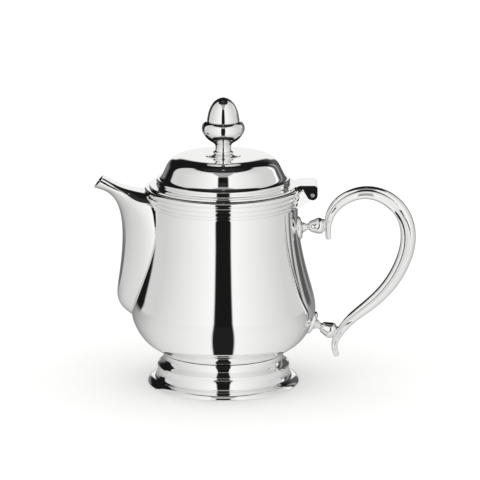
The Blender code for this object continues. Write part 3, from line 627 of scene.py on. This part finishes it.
def make_pin():
    """Hinge pin with a riveted, slightly domed head at each end."""
    low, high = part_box("hinge_pin")
    half = 0.5 * (high.y - low.y) / MM
    radius = 0.5 * (high.z - low.z) / MM
    pin = spun("hinge_rivet", outline([
        (0.0, half), (0.6 * radius, half - 0.05), (radius, half - 0.35, 0.15), (radius, 0.35 - half, 0.15),
        (0.6 * radius, 0.05 - half), (0.0, -half),
    ], 0.5), steps=32)
    return place(pin, HINGE, (0, 1, 0))


# ------------------------------------------------------------------ lid

def turned_size(node):
    """Bottom, top and radius in millimetres of a round node of the frame."""
    low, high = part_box(node)
    return low.z / MM, high.z / MM, 0.5 * (high.y - low.y) / MM


STUD_HOLE = 2.3                                     # radius of the hole in the lid
STUD_BORE = turned_size("finial_stud")[2] + 0.3     # radius of the hole in the washer and the nut
STUD_CHAMFER = 0.4
THREAD_PITCH = 0.7
THREAD_DEPTH = 0.28


def make_lid():
    """Domed lid: a thin ledge on the rim, a short wall with a bead, then the dome, flat at its middle, with a
    hole for the stud."""
    outside = outline([
        (STUD_HOLE, 140.2), (10.9, 140.2), (16.0, 140.3), (20.5, 140.35), (24.4, 140.2), (28.0, 139.55),
        (31.1, 138.0), (33.4, 135.4), (34.9, 132.4), (36.4, 129.3), (37.6, 127.4), (38.6, 126.7, 0.25),
        (39.6, 126.4), (40.2, 125.4), (39.9, 124.2), (40.1, 123.2, 0.4), (42.4, 122.75), (44.1, 122.7, 0.3),
        (44.5, 121.6, 0.2), (44.0, 121.45),
    ], 0.6)
    inside = outline([
        (37.2, 121.45), (37.2, 126.0, 0.8), (36.0, 128.0), (34.0, 132.0), (32.4, 135.2), (30.6, 137.4),
        (28.0, 138.8), (24.6, 139.1), (20.0, 139.1), (15.0, 138.8), (10.9, 138.3), (STUD_HOLE, 138.3),
        (STUD_HOLE, 140.2),
    ], 1.6)
    return place(spun("lid", outside + inside, steps=180), POT_AXIS)


def make_bezel():
    """Locating ring under the lid."""
    line = outline([
        (42.3, 121.3), (42.3, 118.2, 0.3), (41.7, 116.5, 0.4), (41.1, 116.5, 0.2), (41.1, 121.3),
        (42.3, 121.3),
    ], 0.8)
    return place(spun("lid_ring", line, steps=160), POT_AXIS)


def make_finial():
    """Acorn in its cup on a short stem, over a flared disc."""
    disc = spun("finial_disc", outline([
        (0.0, 141.3), (4.9, 141.3, 0.2), (6.2, 141.05), (8.4, 140.75), (10.5, 140.5, 0.1), (10.5, 140.2),
        (0.0, 140.2),
    ], 0.4), steps=96)
    cup = spun("acorn_cup", outline([
        (0.0, 161.0), (8.6, 161.0, 0.3), (9.6, 161.3), (11.0, 160.7), (12.3, 159.3), (12.9, 157.4),
        (12.7, 155.2), (11.7, 153.0), (10.2, 151.0), (8.1, 149.3), (6.1, 148.0), (5.15, 147.2, 0.3),
        (4.7, 145.8), (4.6, 144.2), (4.9, 143.2, 0.25), (6.0, 142.7, 0.3), (6.0, 141.8, 0.3),
        (5.0, 141.3, 0.2), (4.6, 140.9), (0.0, 140.9),
    ], 0.35), steps=96)
    acorn = spun("acorn", outline([
        (0.0, 175.6), (1.6, 175.35), (3.9, 174.3), (6.1, 172.3), (7.8, 169.5), (9.0, 166.3), (9.6, 163.2),
        (9.5, 161.0), (8.9, 160.6), (0.0, 160.6),
    ], 0.35), steps=96)
    for piece in (disc, cup, acorn):
        place(piece, POT_AXIS)
    return disc, cup, acorn


def make_stud():
    """Threaded stud up through the lid: turned grooves stand for the thread."""
    bottom, top, radius = turned_size("finial_stud")
    line = [(0.0, top), (radius - STUD_CHAMFER, top), (radius, top - STUD_CHAMFER)]
    height = top - THREAD_PITCH
    while height > bottom + 0.9:
        line += [(radius, height), (radius - THREAD_DEPTH, height - 0.5 * THREAD_PITCH)]
        height -= THREAD_PITCH
    line += [(radius, bottom + STUD_CHAMFER), (radius - STUD_CHAMFER, bottom), (0.0, bottom)]
    return place(spun("stud", line, steps=32), POT_AXIS)


def make_washer():
    """Plain washer with its edges worn round."""
    bottom, top, radius = turned_size("finial_washer")
    line = outline([
        (STUD_BORE, top), (radius - 0.1, top, 0.15), (radius, 0.5 * (top + bottom)),
        (radius - 0.1, bottom, 0.25), (STUD_BORE, bottom, 0.1), (STUD_BORE, top),
    ], 0.6)
    return place(spun("washer", line, steps=64), POT_AXIS)


def make_nut():
    """Hexagon nut, its corners chamfered on both faces by a turned blank."""
    low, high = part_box("finial_nut")
    depth = (high.z - low.z) / MM
    half = 0.5 * depth
    corner = 0.5 * (high.x - low.x) / MM
    flat = 0.86 * corner
    middle = (AXIS_X / MM, 0, 0.5 * (low.z + high.z) / MM)
    nut = rod("nut", corner, depth, middle, (0, 0, 1), vertices=6)
    blank = spun("blank", [
        (0.0, half + 0.1), (flat, half + 0.1), (corner + 0.05, half - 0.35), (corner + 0.05, 0.35 - half),
        (flat, -half - 0.1), (0.0, -half - 0.1),
    ], steps=64)
    place(blank, Vector(middle) * MM)
    cut_by(nut, blank, "INTERSECT")
    return cut_by(nut, rod("nut_bore", STUD_BORE, 3 * depth, middle, (0, 0, 1), vertices=40))


# ------------------------------------------------------------------ studio

# In metres.
TENT = 5.0                                          # how far the tent stands from the pot
TENT_MIDDLE = 0.10                                  # the height its angles are counted from
SHEET_START = 0.048                                 # the sheet on the table starts just outside the foot
SHEET_HEIGHT = 0.0004
FOOT_RADIUS = 0.046

# Angles round the pot and up from the table, in degrees.
DOWN = -90
GAP = 11.4                                          # half the width of the camera's gap
GAP_TOP = 42
FLAP_TOP = 66
LEFT_END = -119                                     # far edge of the left panel


def ramp(value, low, high):
    """0 below a stretch and 1 above it, with a straight slope between."""
    return min(max((value - low) / (high - low), 0.0), 1.0)


def between(value, low, high, blur):
    """1 inside a stretch and 0 outside it, with soft edges."""
    inside = min((value - low) / blur, (high - value) / blur) + 0.5
    inside = min(max(inside, 0.0), 1.0)
    return inside * inside * (3 - 2 * inside)


def covered(shade, tone, amount):
    """A shade with this much of a tone laid over it."""
    return shade + (tone - shade) * amount


def tent_shade(azimuth, height):
    """How bright the tent is in one direction, in degrees. Azimuth 0 is the gap for the camera, and + is to
    the camera's right."""
    side = abs(azimuth)
    right_end = 112 + 19.2 * ramp(height, -4, 12)
    # A dark room overhead.
    shade = 0.01 + 0.02 * between(height, 70, 200, 20)
    # Two white panels flank the gap. They darken and drop a little towards their far edges.
    panel = 1.04 - 0.34 * ramp(side, 18, 93)
    across = between(azimuth, LEFT_END, right_end, 5)
    shade = covered(shade, panel, across * between(height, DOWN, FLAP_TOP - 0.08 * side, 5))
    # A grey flap hangs over the gap, wider the higher up.
    reach = 9 + (height - GAP_TOP) * 1.3
    shade = covered(shade, 0.40, between(azimuth, -reach, reach, 4) * between(height, GAP_TOP, FLAP_TOP, 4))
    # Behind the panels the room is dark again, a little less so low on the right.
    behind = between(azimuth, right_end, 230, 6) + between(azimuth, -230, LEFT_END, 6)
    room = 0.01 + 0.09 * between(azimuth, 100, 170, 20) * between(height, DOWN, 25, 15)
    shade = covered(shade, room, behind * between(height, DOWN, 47, 7))
    # Two pale streaks stand behind on the right, and a low glow on the left.
    streaks = between(azimuth, 121, 127, 3) + 0.5 * between(azimuth, 139, 145, 4)
    shade += 0.5 * streaks * between(height, -20, 30, 10)
    shade += 0.22 * between(azimuth, -163, -141, 12) * between(height, -30, 8, 12)
    # A low white sheet stands at the pot's back.
    shade = covered(shade, 0.95, between(side, 165, 200, 5) * between(height, DOWN, 19, 5))
    return shade * (1 - 0.99 * between(azimuth, -GAP, GAP, 2.2) * between(height, DOWN, GAP_TOP, 5))


def floor_shade(azimuth, reach):
    """How bright the sheet on the table is, in one direction and this many metres out. It is darker towards
    the sides and the back, with a dark strip that widens towards the camera. Farther out it takes the tent's
    own tone, so that no step shows."""
    side = abs(azimuth)
    shade = 1.0 - 0.30 * ramp(side, 18, 88) - 0.42 * ramp(side, 88, 138)
    shade = covered(shade, 0.98, between(side, 163, 200, 8))
    strip = 0.008 + 0.18 * max(reach - FOOT_RADIUS, 0)
    edge = math.degrees(math.atan2(strip, reach)) + 1.0
    shade *= 1 - 0.985 * between(azimuth, -edge, edge, 2.2)
    return covered(shade, tent_shade(azimuth, 0), between(reach, 0.45, 99, 0.4))


def make_tent():
    """A tent round the table, and a sheet under it, which are seen only as reflections in the silver."""
    line = [(reach, 0, SHEET_HEIGHT) for reach in np.geomspace(SHEET_START, TENT, 40)]
    for angle in np.radians(np.arange(0, 90, 1.5)):
        line.append((TENT * math.cos(angle), 0, TENT_MIDDLE + TENT * math.sin(angle)))
    tent = draw_line("tent", [Vector(point) / MM for point in line])
    bpy.ops.mesh.select_all(action="SELECT")
    bpy.ops.mesh.spin(steps=360, angle=math.tau, center=(0, 0, 0), axis=(0, 0, 1))
    clean(tent)
    place(tent, POT_AXIS)
    shades = tent.data.attributes.new("shade", "FLOAT", "POINT")
    for vertex, shade in zip(tent.data.vertices, shades.data):
        x, y, z = vertex.co - POT_AXIS
        azimuth = math.degrees(math.atan2(x, -y))
        reach = math.hypot(x, y)
        if z < 2 * SHEET_HEIGHT:
            shade.value = floor_shade(azimuth, reach)
        else:
            shade.value = tent_shade(azimuth, math.degrees(math.atan2(z - TENT_MIDDLE, reach)))
    material = bpy.data.materials.new("tent_cloth")
    material.use_nodes = True
    tree = material.node_tree
    tree.nodes.clear()
    painted = add(tree, "ShaderNodeAttribute", {"attribute_name": "shade"})
    glow = add(tree, "ShaderNodeEmission", Color=linear("#FFFFFF"), Strength=painted.outputs["Fac"])
    add(tree, "ShaderNodeOutputMaterial", Surface=glow.outputs["Emission"])
    tent.data.materials.append(material)
    tent.visible_camera = False
    tent.visible_diffuse = False
    tent.visible_shadow = False


def make_floor():
    """A matt white table top, 16 m across so that its edge is never in view."""
    bpy.ops.object.select_all(action="DESELECT")
    bpy.ops.mesh.primitive_plane_add(size=16)
    floor = start_piece("floor")
    material, _, shader = new_finish("white_table")
    shader.inputs["Base Color"].default_value = linear("#F9F9F8")
    shader.inputs["Specular IOR Level"].default_value = 0.0
    floor.data.materials.append(material)


def make_world():
    """Soft white light from all round."""
    bpy.context.scene.view_settings.view_transform = "Standard"
    world = bpy.data.worlds.new("studio")
    bpy.context.scene.world = world
    world.use_nodes = True
    background = world.node_tree.nodes["Background"]
    background.inputs["Color"].default_value = linear("#FFFFFF")
    background.inputs["Strength"].default_value = 1.15


CAMERA_SPOT = (-0.0092, -2.718, 0.7377)
CAMERA_DIP = 0.23462                                # how far it looks down, in radians


def make_camera():
    """A long lens, 2.8 m away, level across and looking a little down."""
    data = bpy.data.cameras.new("camera")
    data.sensor_width = 36
    data.lens = 348.7
    data.clip_end = 50
    camera = bpy.data.objects.new("camera", data)
    bpy.context.scene.collection.objects.link(camera)
    camera.location = CAMERA_SPOT
    camera.rotation_euler = (math.pi / 2 - CAMERA_DIP, 0, 0)
    bpy.context.scene.camera = camera


# ------------------------------------------------------------------ assembly

dress(make_foot(), "pot", SILVER_SHEET, "silver_body", "foot_ring")
dress(make_body(), "pot", SILVER_SHEET, "silver_body", "body_shell")
dress(make_collar(), "pot", SILVER_SHEET, "silver_body", "rim_collar")
dress(make_spout(), "pot", SILVER_SHEET, "silver_body", "spout_shell")
dress(make_handle(), "pot", SILVER_CAST, "silver_fittings", "handle_scroll")
for where, height in (("upper", UPPER_ARM_HEIGHT), ("lower", LOWER_ARM_HEIGHT)):
    rosette, pear = make_arm(where, height)
    dress(rosette, "pot", SILVER_CAST, "silver_fittings", where + "_rosette")
    dress(pear, "pot", SILVER_CAST, "silver_fittings", where + "_baluster")
dress(make_lid(), "lid", SILVER_SHEET, "silver_lid", "lid_shell")
dress(make_bezel(), "lid", SILVER_SHEET, "silver_lid", "lid_bezel")
disc, cup, acorn = make_finial()
dress(disc, "lid", SILVER_CAST, "silver_lid", "finial_base")
dress(cup, "lid", SILVER_CAST, "silver_lid", "finial_cup")
dress(acorn, "lid", SILVER_CAST, "silver_lid", "finial_acorn")
hinge_foot = buffed_casting("hinge_foot", "hinge_bracket", 0.35, taper=0.12)
hinge_leaf = buffed_casting("hinge_leaf", "hinge_lid_leaf", 0.40)
dress(hinge_foot, "pot", SILVER_CAST, "silver_fittings", "hinge_bracket", smooth=20)
dress(hinge_leaf, "lid", SILVER_CAST, "silver_fittings", "hinge_lid_leaf", smooth=20)
dress(make_pin(), "pot", STEEL, "steel", "hinge_pin")
dress(make_stud(), "lid", STEEL, "steel", "finial_stud")
dress(make_washer(), "lid", STEEL, "steel", "finial_washer")
dress(make_nut(), "lid", STEEL, "steel", "finial_nut")

make_floor()
make_tent()
make_world()
make_camera()
